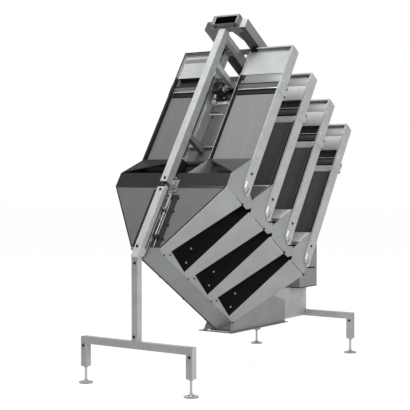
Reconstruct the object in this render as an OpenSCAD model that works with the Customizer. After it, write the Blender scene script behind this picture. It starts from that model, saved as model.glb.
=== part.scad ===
// Inclined belt sorter for grain: four stacked decks of two lanes each.
// Round kernels roll down the belts into the hoppers; flat and broken ones
// ride up over the head rollers and slide down the tray floors behind.
// Millimetres, +Z up, the stands' long way along Y, the lanes face -Y.
// Slope frame: X across, Y uphill along a deck (s), Z out of its face (n).

/* [Decks] */
// Slope of the decks above the floor, in degrees
deck_angle = 57; // [54:0.5:60]
// Distance from one deck to the next, square to their faces
deck_pitch = 410; // [395:1:430]
// Length of a deck tray along the slope
deck_len = 1230; // [1180:5:1290]
// Height of the first deck's lower edge above the floor
deck_z = 1913; // [1880:1:1960]
// How far that edge lies in front of the middle of the stance
deck_front = 518; // [490:1:550]
// Width over the decks
deck_w = 1200; // [1120:2:1280]
// Gap between the two lanes
lane_gap = 274; // [250:2:300]
// Height of the tray walls
wall_h = 85; // [82:1:100]
// Thickness of the folded sheet
sheet = 3; // [2:0.5:4]
// Width of the folded rail along each outer wall
rail_w = 12; // [9:1:16]
// How far the rails run below the trays
rail_tail = 300; // [270:5:320]
// Length of the feed plate at the head of a lane
feed_plate_len = 285; // [240:5:300]
// Depth of the feed plate below the wall tops
feed_plate_drop = 34; // [24:1:44]

/* [Belts and rollers] */
// Depth of the belt's face below the wall tops
belt_drop = 38; // [34:1:44]
// Thickness of a belt
belt_t = 3; // [2:0.5:4]
// Gap between a belt and the walls beside it
belt_side_gap = 6; // [4:1:12]
// Radius of the head and tail rollers
roller_r = 16; // [13:0.5:17]
// Radius of the roller shafts
shaft_r = 9; // [7:0.5:10]
// Place of the tail roller above the lower edge
tail_s = 34; // [30:1:60]
// Distance of the feed rollers below the feed plates
feed_down = 133; // [126:1:146]
// Distance of the head rollers below the feed rollers
head_down = 106; // [100:1:120]
// Radius of the feed roller
feed_r = 30; // [24:1:31]
// Depth of the feed roller's axis below the wall tops
feed_drop = 50; // [44:1:50]
// Gap between a roller and the belt round it
belt_gap = 0.3; // [0.2:0.1:0.6]
// Running clearance of a shaft in its bearing
fit_gap = 0.05; // [0.03:0.01:0.1]
// Radius of a bearing
bearing_r = 22; // [18:1:24]

/* [Hoppers] */
// How far the hopper front stands out before the deck face
hopper_out = 206; // [190:1:220]
// Distance down from the tray to the top of the front lip
lip_s = 279; // [260:1:300]
// Distance down from the tray to the knee where the hopper narrows
knee_s = 412; // [400:1:440]
// Distance down from the tray to the outlet
outlet_s = 1020; // [980:2:1060]
// Half width of the outlet and the collector
outlet_x = 150; // [130:1:170]
// Depth of the outlet, square to the deck
outlet_depth = 106; // [90:1:130]
// Length of the side plates' straight heel above the knee
heel_len = 112; // [100:1:130]
// Length of the slope from that heel to the tray's floor
heel_run = 50; // [40:1:60]
// Depth of the collector's valley below the outlets
valley_d = 105; // [90:1:115]
// Width of the flat at the bottom of the valley
valley_w = 24; // [16:2:40]

/* [Outlet boot] */
// Height of the boot's flange above the floor
boot_z = 344; // [330:1:360]
// Thickness of the boot's flange
flange_t = 6; // [4:1:10]
// How far the flange stands out round the boot
flange_w = 38; // [30:1:50]
// Length of the boot behind the collector
boot_len = 950; // [900:5:980]
// Height of the boot's back edge above its flange
boot_back_h = 205; // [160:1:240]
// Height of the boot's ridge above its flange
boot_ridge_h = 338; // [300:1:360]
// Distance of the ridge in front of the boot's back
boot_ridge_y = 424; // [380:1:460]

// Distance of the flange's bolt holes from the boot's ends
flange_hole_in = 100; // [60:5:160]

/* [Frame] */
// Width of the sloping beam
beam_w = 70; // [60:1:80]
// Depth of the sloping beam
beam_d = 80; // [70:1:90]
// Gap between the beam and the hopper front
beam_gap = 14; // [10:1:20]
// Height of the saddle between the beam and the feed head
saddle_h = 25; // [15:1:40]
// Distance down to the joint between its two lengths
splice_s = 420; // [400:1:440]
// Gap between its two lengths
splice_gap = 34; // [20:1:50]
// Outside size of the leg tube
tube = 60; // [50:1:66]
// Wall of the tubes
tube_wall = 4; // [3:0.5:5]
// Height of the first leg under the beam
leg_top_z = 1100; // [1080:1:1120]
// How far the beam runs on below the outlets
beam_tail = 300; // [290:1:320]
// Distance of the upper standoff below the knee of the first hopper
standoff_in = 330; // [300:1:400]
// Size of the arms that carry the decks
arm = 50; // [40:1:60]
// Place of the lowest arm above the lower deck edge
low_arm_s = 110; // [90:1:140]
// Distance of the middle arm above the head rollers
middle_arm_up = 179; // [170:1:220]
// Distance of the top arm below the decks' upper edge
top_arm_in = 30; // [30:1:60]

/* [Stands] */
// Distance between the front and the rear feet
stance_y = 2730; // [2700:5:2800]
// Distance from the middle to a foot, sideways
foot_x = 552; // [520:1:560]
// Height of the top of a stand's cross tube
stand_z = 400; // [380:1:420]
// Height of the underside of the short legs
leg_foot_z = 145; // [130:1:160]
// Radius of a foot's pad
pad_r = 60; // [50:1:62]
// Radius of a foot's spindle
spindle_r = 10; // [8:0.5:12]

/* [Rear] */
// Width of the rear cabinet
cabinet_w = 300; // [260:2:320]
// Depth of the rear cabinet
cabinet_d = 348; // [320:1:360]
// Height of its underside above the floor
cabinet_z = 648; // [620:1:680]
// Height of the rear cabinet
cabinet_h = 602; // [540:2:640]

/* [Gearmotors] */
// Half width of a gearbox
gearbox_x = 56; // [50:1:62]
// How far a gearbox reaches down the slope from its shaft
gearbox_low = 40; // [36:1:44]
// How far it reaches up the slope from its shaft
gearbox_high = 70; // [60:1:80]
// How far it reaches behind its shaft
gearbox_depth = 38; // [32:1:42]
// Depth of its front below the wall tops
gearbox_in = 14; // [10:1:18]
// Radius of a motor
motor_r = 52; // [46:1:56]
// Length of a motor
motor_len = 84; // [70:1:100]
// Distance of a motor's axis above the gearbox shaft
motor_up = 30; // [24:1:36]

/* [Feed head] */
// Gap between the decks' upper edge and the feed head
head_gap = 20; // [20:1:40]
// Half width of the feed head
head_x = 222; // [210:1:236]
// Height of the feed head, up the slope
head_h = 95; // [80:1:110]
// How far its front stands out before the first deck
head_out = 276; // [250:1:300]
// Depth of its cross box, square to the decks
head_cross = 54; // [48:1:70]
// Half width of the cross box's straight back
gusset_x = 58; // [48:1:70]
// Place, square to the decks, where the arms' inner walls begin
gusset_depth = 82; // [60:1:110]
// Width of each of its two arms
head_arm_w = 110; // [90:1:116]
// Length of the inlet opening in its top
inlet_w = 200; // [160:5:300]
// Width of the control panel
panel_w = 282; // [260:2:300]
// How far the control panel sits to the right of the middle
panel_x = 20; // [0:1:30]
// Height of the control panel
panel_h = 101; // [90:1:130]
// Thickness of the control panel
panel_t = 58; // [40:1:70]
// Width of the bezel round its screen
bezel = 14; // [10:1:24]
// How far the screen is set back in the bezel
screen_in = 5; // [2:1:10]

/* [Gate] */
// Distance of the gate's rod from the middle of the machine
gate_x = 68; // [64:1:72]
// Radius of the gate's cylinder
cylinder_r = 13; // [11:0.5:15]
// Length of the gate's cylinder
cylinder_len = 180; // [150:5:200]
// Radius of the gate's rod
rod_r = 5; // [4:0.5:6]
// Length of rod that shows at rest
rod_out_len = 270; // [240:5:280]
// Length of rod inside the cylinder at rest
rod_in_len = 90; // [70:5:100]
// Free length of the cylinder's bore above the rod at rest
rod_room = 60; // [55:1:80]
// Length of the shutter
shutter_len = 410; // [360:5:430]
// Width of the shutter
shutter_w = 58; // [40:1:64]
// Thickness of the shutter
shutter_t = 4; // [3:0.5:6]

/* [Hidden] */
$fn = 48;
eps = 0.01;
DECKS = 4;

// Places that follow from the sizes above
half_w = deck_w / 2;
wall_x = half_w - rail_w;
lane_in = lane_gap / 2;
lane_lo = lane_in + sheet;
lane_hi = wall_x - sheet;
belt_x0 = lane_lo + belt_side_gap;
belt_x1 = lane_hi - belt_side_gap;
loop_r = roller_r + belt_gap + belt_t;
roller_n = -belt_drop - loop_r;
feed_plate_s = deck_len - feed_plate_len;
feed_s = feed_plate_s - feed_down;
head_s = feed_s - head_down;
beam_top_s = deck_len + head_gap;
beam_end_s = beam_top_s - saddle_h;
hopper_back = -wall_h;
beam_n = hopper_out + beam_gap;
beam_mid_n = beam_n + beam_d / 2;
arm_end_n = -(DECKS - 1) * deck_pitch - wall_h - arm;
half_stance = stance_y / 2;
leg_h = stand_z - tube;
boot_y0 = slope_y(-outlet_s, outlet_bottom_n());
valley_s = -outlet_s - valley_d;
valley_end_n = outlet_bottom_n();
boot_front_y = slope_y(valley_s, valley_end_n);
boot_back_y = boot_front_y + boot_len;
column_y = half_stance;
web_y1 = column_y - tube / 2;
spine_top_s = (web_y1 + deck_front + arm_end_n * sin(deck_angle)) / cos(deck_angle);
arm_s = [low_arm_s, head_s + middle_arm_up, deck_len - top_arm_in];
arm_top_s = arm_s[2] + arm / 2;
bearing_t = rail_w - sheet - 1;
spout_x0 = lane_lo + 8;
spout_x1 = spout_x0 + 62;
spout_drop = 8;
spout_h = 22;
spout_top_n = -spout_drop;
spout_bottom_n = spout_top_n - spout_h;
flange_hole_r = 5.5;
cylinder_top_s = -splice_s - 60;
cylinder_end_s = cylinder_top_s - cylinder_len;
rod_end_s = cylinder_end_s - rod_out_len;
gate_n = hopper_out + 17;
shutter_x = gate_x + cylinder_r + 4;
steel = [0.62, 0.63, 0.64];
zinc = [0.78, 0.79, 0.80];
dark = [0.12, 0.12, 0.13];

// Height and depth in the room of a point given in the slope frame
function slope_y(s, n) = -deck_front + s * cos(deck_angle) - n * sin(deck_angle);
function slope_z(s, n) = deck_z + s * sin(deck_angle) + n * cos(deck_angle);
// Out-of-face place at which a line across the decks meets a depth in the room
function slope_n(y, s) = (s * cos(deck_angle) - y - deck_front) / sin(deck_angle);
// Out-of-face place of the last outlet's back edge
function outlet_bottom_n() =
  hopper_out - outlet_depth - (DECKS - 1) * deck_pitch;

module slope() {
  translate([0, -deck_front, deck_z]) rotate([deck_angle, 0, 0]) children();
}

// The slope frame of one deck, counted from 1 at the front
module deck(k) {
  slope() translate([0, 0, -(k - 1) * deck_pitch]) children();
}

// The same on the right and mirrored on the left
module both_sides() {
  children();
  mirror([1, 0, 0]) children();
}

// A box from its lowest to its highest corner
module block(lo, hi) {
  translate(lo) cube(hi - lo);
}

// A straight tube along Z with square section
module square_tube(size, wall, length) {
  difference() {
    translate([-size / 2, -size / 2, 0]) cube([size, size, length]);
    translate([-size / 2 + wall, -size / 2 + wall, -1])
      cube([size - 2 * wall, size - 2 * wall, length + 2]);
  }
}

// An outline in the (s, n) plane, made into a plate from x0 to x1
module plate_sn(points, x0, x1) {
  translate([x0, 0, 0]) rotate([90, 0, 90]) linear_extrude(x1 - x0)
    polygon(points);
}

// A block that narrows evenly from a rectangle at s0 to one at s1
module taper(s0, x0, n0, s1, x1, n1) {
  polyhedron(
    points = [
      [-x0, s0, n0[0]], [x0, s0, n0[0]], [x0, s0, n0[1]], [-x0, s0, n0[1]],
      [-x1, s1, n1[0]], [x1, s1, n1[0]], [x1, s1, n1[1]], [-x1, s1, n1[1]]
    ],
    faces = [
      [0, 1, 2, 3], [7, 6, 5, 4], [4, 5, 1, 0],
      [5, 6, 2, 1], [6, 7, 3, 2], [7, 4, 0, 3]
    ]
  );
}

// A rod across the machine, in the slope frame of a deck
module cross_rod(r, x0, x1, s, n) {
  translate([x0, s, n]) rotate([0, 90, 0]) cylinder(r = r, h = x1 - x0);
}

module upper_beam() {
  color(zinc) slope() difference() {
    block([-beam_w / 2, -splice_s, beam_n], [beam_w / 2, beam_end_s, beam_n + beam_d]);
    block([-beam_w / 2 + tube_wall, -splice_s - 1, beam_n + tube_wall],
          [beam_w / 2 - tube_wall, beam_end_s - tube_wall, beam_n + beam_d - tube_wall]);
  }
}

module lower_beam() {
  top_s = -splice_s - splice_gap;
  low_s = -outlet_s - beam_tail;
  standoff = 40;
  color(zinc) difference() {
    slope() {
      block([-beam_w / 2, low_s, beam_n], [beam_w / 2, top_s, beam_n + beam_d]);
      for (s = [-outlet_s + 1.5 * standoff, -knee_s - standoff_in])
        block([-beam_w / 2, s, hopper_out], [beam_w / 2, s + standoff, beam_n]);
    }
    difference() {
      slope() block([-beam_w / 2 + tube_wall, low_s - 1, beam_n + tube_wall],
                    [beam_w / 2 - tube_wall, top_s + 1, beam_n + beam_d - tube_wall]);
      all_below(leg_top_z + tube_wall);
    }
    all_below(leg_top_z);
  }
}

// Everything from the floor up to one height
module all_below(z) {
  translate([-half_w, -2 * half_stance, 0]) cube([deck_w, 4 * half_stance, z]);
}

// The plate behind the joint of the two beam lengths, which carries the first hopper
module splice_plate() {
  reach = 90;
  color(steel) slope()
    block([-beam_w / 2 - 16, -splice_s - splice_gap - reach, hopper_out],
          [beam_w / 2 + 16, -splice_s + reach, beam_n]);
}

module front_leg() {
  color(zinc) translate([0, -half_stance, stand_z])
    square_tube(tube, tube_wall, leg_top_z - stand_z);
}

// Cross tube with two short legs; the foot spindles run in the plugs and lock nuts
module stand() {
  nut_h = 12;
  nut_r = 1.75 * spindle_r;
  difference() {
    union() {
      translate([-foot_x - tube / 2, -tube / 2, stand_z - tube])
        cube([2 * foot_x + tube, tube, tube]);
      both_sides() translate([foot_x - tube / 2, -tube / 2, leg_foot_z])
        cube([tube, tube, leg_h - leg_foot_z + eps]);
      both_sides() translate([foot_x, 0, leg_foot_z - nut_h])
        cylinder(r = nut_r, h = nut_h + 1, $fn = 6);
    }
    translate([-foot_x - tube / 2 + tube_wall, -tube / 2 + tube_wall, stand_z - tube + tube_wall])
      cube([2 * foot_x + tube - 2 * tube_wall, tube - 2 * tube_wall, tube - 2 * tube_wall]);
    both_sides() translate([foot_x - tube / 2 + tube_wall, -tube / 2 + tube_wall, leg_foot_z + 22])
      cube([tube - 2 * tube_wall, tube - 2 * tube_wall, leg_h - leg_foot_z]);
    both_sides() translate([foot_x, 0, leg_foot_z - nut_h - 1])
      cylinder(r = spindle_r + fit_gap, h = nut_h + 30);
  }
}

module front_stand() {
  color(zinc) translate([0, -half_stance, 0]) stand();
}

module rear_stand() {
  color(zinc) translate([0, half_stance, 0]) stand();
}

// The rear post, up to the head of the spine
module rear_column() {
  top_z = max(slope_z(spine_top_s, arm_end_n), slope_z(arm_top_s, slope_n(web_y1, arm_top_s))) + 8;
  color(zinc) translate([0, column_y, stand_z])
    square_tube(tube, tube_wall, top_z - stand_z);
}

// Sloping tube behind the decks, which ties the ends of the three arms to the post
module rear_spine() {
  color(zinc) difference() {
    slope() difference() {
      block([-tube / 2, arm_s[0] - arm, arm_end_n - tube], [tube / 2, spine_top_s + 40, arm_end_n]);
      block([-tube / 2 + tube_wall, arm_s[0] - arm - 1, arm_end_n - tube + tube_wall],
            [tube / 2 - tube_wall, spine_top_s + 41, arm_end_n - tube_wall]);
    }
    behind_post();
  }
}

// The room behind the front face of the rear post
module behind_post() {
  block([-tube, web_y1, leg_top_z], [tube, web_y1 + 3 * tube, 3 * leg_top_z]);
}

// Folded sheet box between the boot and the rear post
module rear_web() {
  color(zinc) difference() {
    block([-tube / 2, boot_back_y, stand_z - tube], [tube / 2, web_y1, cabinet_z]);
    block([-tube / 2 + sheet, boot_back_y + sheet, stand_z - tube - 1],
          [tube / 2 - sheet, web_y1 - sheet, cabinet_z - sheet]);
  }
}

// Cover open underneath, hung on the rear post
module rear_cabinet() {
  y1 = column_y + tube / 2 + sheet;
  y0 = y1 - cabinet_d;
  top = cabinet_z + cabinet_h;
  color(steel) difference() {
    block([-cabinet_w / 2, y0, cabinet_z], [cabinet_w / 2, y1, top]);
    block([-cabinet_w / 2 + sheet, y0 + sheet, cabinet_z - 1],
          [cabinet_w / 2 - sheet, y1 - sheet, top - sheet]);
    translate([-tube / 2, column_y - tube / 2, top - sheet - 1]) cube([tube, tube, sheet + 2]);
  }
}

// An arm from the beam through the middle gap behind the last deck
module deck_arm(i) {
  color(steel) difference() {
    slope() difference() {
      block([-arm / 2, arm_s[i] - arm / 2, arm_end_n], [arm / 2, arm_s[i] + arm / 2, beam_n]);
      block([-arm / 2 + tube_wall, arm_s[i] - arm / 2 + tube_wall, arm_end_n - 1],
            [arm / 2 - tube_wall, arm_s[i] + arm / 2 - tube_wall, beam_n + 1]);
    }
    behind_post();
  }
}

module low_arm() { deck_arm(0); }
module middle_arm() { deck_arm(1); }
module top_arm() { deck_arm(2); }

// Levelling foot: pad, ball neck, collar and spindle
module foot(x, y) {
  pad_t = 10;
  color(zinc) translate([x, y, 0]) {
    cylinder(r = pad_r, h = pad_t);
    translate([0, 0, pad_t]) cylinder(r1 = pad_r * 0.55, r2 = spindle_r + 4, h = 14);
    translate([0, 0, pad_t + 14]) cylinder(r = spindle_r + 4, h = 8);
    cylinder(r = spindle_r, h = leg_foot_z + 60);
  }
}

module foot_front_left() { foot(-foot_x, -half_stance); }
module foot_front_right() { foot(foot_x, -half_stance); }
module foot_rear_left() { foot(-foot_x, half_stance); }
module foot_rear_right() { foot(foot_x, half_stance); }

// One lane of a tray: floor, walls, feed plate, roller bed and head wall
module lane() {
  bed_n = -belt_drop - belt_t - belt_gap;
  block([lane_in, 0, -wall_h], [wall_x, deck_len, -wall_h + sheet]);
  block([lane_in, 0, -wall_h], [lane_in + sheet, deck_len, 0]);
  block([wall_x - sheet, 0, -wall_h], [wall_x, deck_len, 0]);
  block([lane_in, deck_len - sheet, -wall_h], [wall_x, deck_len, 0]);
  block([lane_in, deck_len - 14, -sheet], [wall_x, deck_len, 0]);
  block([lane_in, feed_plate_s, -feed_plate_drop - sheet], [wall_x, deck_len, -feed_plate_drop]);
  block([lane_in, feed_plate_s, -wall_h], [wall_x, feed_plate_s + sheet, -feed_plate_drop]);
  block([lane_in, tail_s + loop_r + 6, bed_n - sheet], [wall_x, head_s - loop_r - 6, bed_n]);
}

// Panel that closes the middle gap, with a folded top edge and a service window
module middle_panel() {
  top_s = head_s - 84;
  block([-lane_in, top_s - sheet, -belt_drop - 22], [lane_in, top_s, -belt_drop + 5]);
  difference() {
    block([-lane_in, 0, -belt_drop - sheet], [lane_in, top_s, -belt_drop]);
    block([-70, top_s - 95, -belt_drop - sheet - 1], [30, top_s - 15, -belt_drop + 1]);
    block([-arm / 2 - 1, arm_s[0] - arm / 2 - 1, -belt_drop - sheet - 1],
          [arm / 2 + 1, arm_s[0] + arm / 2 + 1, -belt_drop + 1]);
  }
}

module tray(k) {
  hole_r = shaft_r + 1;
  $fn = 24;
  color(steel) deck(k) difference() {
    union() {
      both_sides() lane();
      middle_panel();
      for (s = arm_s) {
        block([-lane_in, s + arm / 2, -wall_h], [lane_in, s + arm / 2 + 5, -8]);
      }
    }
    cross_rod(hole_r, -half_w, half_w, tail_s, roller_n);
    cross_rod(hole_r, -half_w, half_w, head_s, roller_n);
    cross_rod(hole_r, -half_w, half_w, feed_s, -feed_drop);
    both_sides() block([spout_x0 - 2, deck_len - 30, spout_bottom_n - 2],
                       [spout_x1 + 2, deck_len + 1, 1]);
  }
}

module tray_1() { tray(1); }
module tray_2() { tray(2); }
module tray_3() { tray(3); }
module tray_4() { tray(4); }

// Folded channel along the outer wall, running on over the hopper's side
module side_rail() {
  difference() {
    plate_sn([[deck_len, 0], [deck_len, -wall_h], [-rail_tail * 0.75, -wall_h],
              [-rail_tail, -wall_h * 0.75], [-rail_tail, -wall_h * 0.25], [-rail_tail * 0.8, 0]],
             wall_x, half_w);
    block([wall_x - 1, -rail_tail * 0.75 + sheet, -wall_h + sheet],
          [half_w - sheet, deck_len - sheet, -sheet]);
  }
}

// Plate over the feed and head rollers' bearings
module bearing_plate() {
  low = feed_s - 78;
  plate_sn([[low, 0], [feed_s + 33, 0], [feed_s + 33, -wall_h - 30],
            [feed_s + 12, -wall_h - 50], [low + 12, -wall_h - 50], [low, -wall_h - 30]],
           half_w, half_w + 5);
}

module side_rails(k) {
  color(zinc) deck(k) both_sides() {
    side_rail();
    bearing_plate();
    for (p = [[tail_s, roller_n], [head_s, roller_n], [feed_s, -feed_drop]])
      difference() {
        cross_rod(bearing_r, wall_x, half_w - sheet, p[0], p[1]);
        cross_rod(shaft_r + fit_gap, wall_x - 1, wall_x + bearing_t, p[0], p[1]);
      }
  }
}

module side_rails_1() { side_rails(1); }
module side_rails_2() { side_rails(2); }
module side_rails_3() { side_rails(3); }
module side_rails_4() { side_rails(4); }

// Long round-ended outline through the two roller axes
module loop_outline(r) {
  translate([tail_s, roller_n]) circle(r = r);
  translate([head_s, roller_n]) circle(r = r);
  translate([tail_s, roller_n - r]) square([head_s - tail_s, 2 * r]);
}

module belt() {
  translate([belt_x0, 0, 0]) rotate([90, 0, 90]) linear_extrude(belt_x1 - belt_x0)
    difference() {
      loop_outline(loop_r);
      loop_outline(loop_r - belt_t);
    }
}

module belts(k) {
  color([0.55, 0.55, 0.55]) deck(k) both_sides() belt();
}

module belts_1() { belts(1); }
module belts_2() { belts(2); }
module belts_3() { belts(3); }
module belts_4() { belts(4); }

// A shaft right across, with a drum in each lane
module roller(k, s, n, r) {
  end_x = wall_x + bearing_t - 1;
  color(zinc) deck(k) {
    cross_rod(shaft_r, -end_x, end_x, s, n);
    both_sides() cross_rod(r, belt_x0 - 2, belt_x1 + 2, s, n);
  }
}

module head_roller_1() { roller(1, head_s, roller_n, roller_r); }
module head_roller_2() { roller(2, head_s, roller_n, roller_r); }
module head_roller_3() { roller(3, head_s, roller_n, roller_r); }
module head_roller_4() { roller(4, head_s, roller_n, roller_r); }
module tail_roller_1() { roller(1, tail_s, roller_n, roller_r); }
module tail_roller_2() { roller(2, tail_s, roller_n, roller_r); }
module tail_roller_3() { roller(3, tail_s, roller_n, roller_r); }
module tail_roller_4() { roller(4, tail_s, roller_n, roller_r); }
module feed_roller_1() { roller(1, feed_s, -feed_drop, feed_r); }
module feed_roller_2() { roller(2, feed_s, -feed_drop, feed_r); }
module feed_roller_3() { roller(3, feed_s, -feed_drop, feed_r); }
module feed_roller_4() { roller(4, feed_s, -feed_drop, feed_r); }

// Worm gearbox hung on the head roller's shaft, with its motor standing out
module gearmotor(k) {
  motor_s = head_s + motor_up;
  plate_t = 6;
  color(dark) deck(k) {
    difference() {
      union() {
        block([-gearbox_x, head_s - gearbox_low, roller_n - gearbox_depth],
              [gearbox_x, head_s + gearbox_high, -gearbox_in]);
        translate([0, motor_s, -gearbox_in]) {
          cylinder(r = motor_r - 8, h = gearbox_in);
          cylinder(r = motor_r + 4, h = plate_t);
        }
        translate([0, motor_s, 0]) cylinder(r = motor_r, h = motor_len);
        translate([0, motor_s, motor_len]) cylinder(r1 = motor_r, r2 = motor_r - 10, h = 16);
        terminal_box(motor_s);
      }
      cross_rod(shaft_r + fit_gap, -gearbox_x - 1, gearbox_x + 1, head_s, roller_n);
    }
    block([-lane_in, head_s + gearbox_high, roller_n - gearbox_depth + 8],
          [lane_in, head_s + gearbox_high + plate_t, -gearbox_in - plate_t]);
  }
}

// Box for the wiring, on the uphill side of a motor
module terminal_box(motor_s) {
  box_s = motor_s + motor_r;
  block([-motor_r / 2, box_s - 12, motor_len * 0.2], [motor_r / 2, box_s + 18, motor_len * 0.75]);
}

module gearmotor_1() { gearmotor(1); }
module gearmotor_2() { gearmotor(2); }
module gearmotor_3() { gearmotor(3); }
module gearmotor_4() { gearmotor(4); }

// Solid form of a hopper below the knee; inset gives the hollow in it
module pyramid(inset, over) {
  taper(-knee_s + over, wall_x - inset, [hopper_back + inset, hopper_out - inset],
        -outlet_s - over, outlet_x - inset,
        [hopper_out - outlet_depth + inset, hopper_out - inset]);
}

// Hollow pyramid from the knee to the outlet, joined to the mouth along a seam
module lower_hopper(k) {
  color(steel) deck(k) difference() {
    pyramid(0, 0);
    pyramid(sheet, eps);
  }
}

// Open mouth of the hopper under one deck's two lanes
module hopper(k) {
  next_front = hopper_out - deck_pitch;
  last = k == DECKS;
  side = [
    [0, 0], [-lip_s, hopper_out - 1], [-lip_s, hopper_out], [-knee_s, hopper_out],
    [-knee_s, last ? -wall_h : next_front],
    [-knee_s + heel_len, last ? -wall_h : next_front],
    [-knee_s + heel_len + heel_run, -wall_h], [0, -wall_h]
  ];
  color(steel) deck(k) {
    both_sides() {
      plate_sn(side, wall_x - sheet, wall_x);
      plate_sn([[0, 0], [-lip_s, hopper_out - sheet], [-lip_s - 60, hopper_out - sheet],
                [-100, -wall_h], [0, -wall_h]], lane_in, lane_in + sheet);
      mouth_guide();
    }
    block([-wall_x, -knee_s, hopper_out - sheet], [wall_x, -lip_s, hopper_out]);
    block([-wall_x, -knee_s, -wall_h], [wall_x, 0, -wall_h + sheet]);
  }
}

// Three-cornered guide from the end of a lane to the outer corner of the lip
module mouth_guide() {
  run = norm([lip_s, hopper_out]);
  tilt = atan2(hopper_out, -lip_s);
  translate([0, 0, -sheet]) rotate([tilt, 0, 0]) linear_extrude(sheet)
    polygon([[lane_in, 0], [wall_x, 0], [wall_x, run * 0.96]]);
}

module hopper_1() { hopper(1); }
module hopper_2() { hopper(2); }
module hopper_3() { hopper(3); }
module hopper_4() { hopper(4); }
module hopper_cone_1() { lower_hopper(1); }
module hopper_cone_2() { lower_hopper(2); }
module hopper_cone_3() { lower_hopper(3); }
module hopper_cone_4() { lower_hopper(4); }

// Valley-shaped trough under the four outlets, falling to the boot
module collector() {
  n0 = valley_end_n;
  n1 = hopper_out;
  s0 = -outlet_s;
  color(steel) slope() {
    translate([0, 0, n0]) linear_extrude(n1 - n0) difference() {
      valley(0);
      valley(sheet);
    }
    translate([0, 0, n1 - sheet]) linear_extrude(sheet) valley(0);
    for (k = [0 : DECKS - 2]) both_sides()
      translate([0, 0, -k * deck_pitch]) outlet_ear();
  }
}

// Three-cornered plate that closes the side behind one outlet
module outlet_ear() {
  back = hopper_out - outlet_depth - 2;
  plate_sn([[-outlet_s, back], [-outlet_s + 62, back - 22], [-outlet_s, hopper_out - deck_pitch]],
           outlet_x - sheet, outlet_x);
}

// Cross section of the trough; the inset one is open at the top
module valley(inset) {
  top = -outlet_s + (inset > 0 ? 1 : 0);
  polygon([
    [-outlet_x + inset, top], [outlet_x - inset, top], [outlet_x - inset, -outlet_s - 20],
    [valley_w / 2, valley_s + inset], [-valley_w / 2, valley_s + inset],
    [-outlet_x + inset, -outlet_s - 20]
  ]);
}

// Closed boot with an open, flanged underside
module outlet_boot() {
  base = boot_z + flange_t;
  top_y = slope_y(-outlet_s, valley_end_n);
  top_z = slope_z(-outlet_s, valley_end_n);
  low_z = slope_z(valley_s, valley_end_n);
  outline = [
    [boot_front_y, boot_z], [boot_front_y, low_z], [top_y, top_z],
    [boot_back_y - boot_ridge_y, base + boot_ridge_h],
    [boot_back_y, base + boot_back_h], [boot_back_y, boot_z]
  ];
  color(steel) {
    for (side = [-1, 1])
      translate([side > 0 ? outlet_x - sheet : -outlet_x, 0, 0]) rotate([90, 0, 90])
        linear_extrude(sheet) polygon(outline);
    translate([-outlet_x, 0, 0]) rotate([90, 0, 90]) linear_extrude(2 * outlet_x)
      difference() {
        polygon([outline[2], outline[3], outline[4], outline[5]]);
        translate([0, -sheet]) polygon([outline[2] - [3 * sheet, 0], outline[3], outline[4] + [-sheet, 0],
                                        outline[5] + [-sheet, -sheet],
                                        outline[2] - [3 * sheet, boot_back_h]]);
      }
    difference() {
      block([-outlet_x - flange_w, boot_front_y - flange_w, boot_z],
            [outlet_x + flange_w, boot_back_y, base]);
      block([-outlet_x + sheet, boot_front_y + sheet, boot_z - 1],
            [outlet_x - sheet, boot_back_y - sheet, base + 1]);
      both_sides() for (y = [boot_front_y + flange_hole_in, boot_back_y - flange_hole_in])
        translate([outlet_x + flange_w / 2, y, boot_z - 1]) cylinder(r = flange_hole_r, h = flange_t + 2);
    }
  }
}

// Plan of the feed head's right half; the inset one gives the hollow in it
module head_plan(inset) {
  n_end = arm_end_n + arm;
  n_back = head_out - head_cross;
  arm_x = head_x - head_arm_w;
  turn = atan2(n_back - gusset_depth, arm_x - gusset_x);
  polygon([
    [-1, head_out - inset], [head_x - inset, head_out - inset], [head_x - inset, n_end + inset],
    [arm_x + inset, n_end + inset], [arm_x + inset, gusset_depth + inset * tan(45 - turn / 2)],
    [gusset_x + inset * tan(turn / 2), n_back + inset], [-1, n_back + inset]
  ]);
}

module head_box(inset, low, high) {
  both_sides() translate([0, high, 0]) rotate([90, 0, 0]) linear_extrude(high - low)
    head_plan(inset);
}

// Feed head: a cross box with the inlet and a saddle, and an arm over each row of lanes
module feed_head() {
  s0 = beam_top_s;
  s1 = s0 + head_h;
  n_back = head_out - head_cross;
  color(steel) slope() {
    difference() {
      union() {
        head_box(0, s0, s1);
        block([-beam_w / 2 + 8, beam_end_s, beam_n + 8], [beam_w / 2 - 8, s0 + sheet, head_out - 8]);
      }
      head_box(sheet, s0 + sheet, s1 - sheet);
      block([-inlet_w / 2, s1 - sheet - 1, n_back + 2 * sheet], [inlet_w / 2, s1 + 1, head_out - 2 * sheet]);
      both_sides() block([head_x - head_arm_w + sheet, s0 - 1, arm_end_n + arm + sheet],
                         [head_x - sheet, s0 + sheet + 1, gusset_depth]);
    }
    for (k = [0 : DECKS - 1]) both_sides() translate([0, 0, -k * deck_pitch]) spout();
  }
}

// Short square spout from an arm into the head of one lane
module spout() {
  wall = 2;
  plate = 24;
  difference() {
    union() {
      block([spout_x0, deck_len - 26, spout_bottom_n], [spout_x1, beam_top_s + sheet, spout_top_n]);
      block([head_x - head_arm_w, beam_top_s, spout_bottom_n - plate],
            [head_x, beam_top_s + sheet, spout_top_n + plate]);
    }
    block([spout_x0 + wall, deck_len - 27, spout_bottom_n + wall],
          [spout_x1 - wall, beam_top_s + sheet + 1, spout_top_n - wall]);
  }
}

// Control panel on the front of the feed head, its screen set back in a bezel
module control_panel() {
  x0 = panel_x - panel_w / 2;
  s0 = beam_top_s + 8;
  front = head_out + panel_t;
  color(dark) slope() difference() {
    block([x0, s0, head_out], [x0 + panel_w, s0 + panel_h, front]);
    block([x0 + bezel, s0 + bezel, front - screen_in],
          [x0 + panel_w - bezel, s0 + panel_h - bezel / 2, front + 1]);
  }
}

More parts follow.
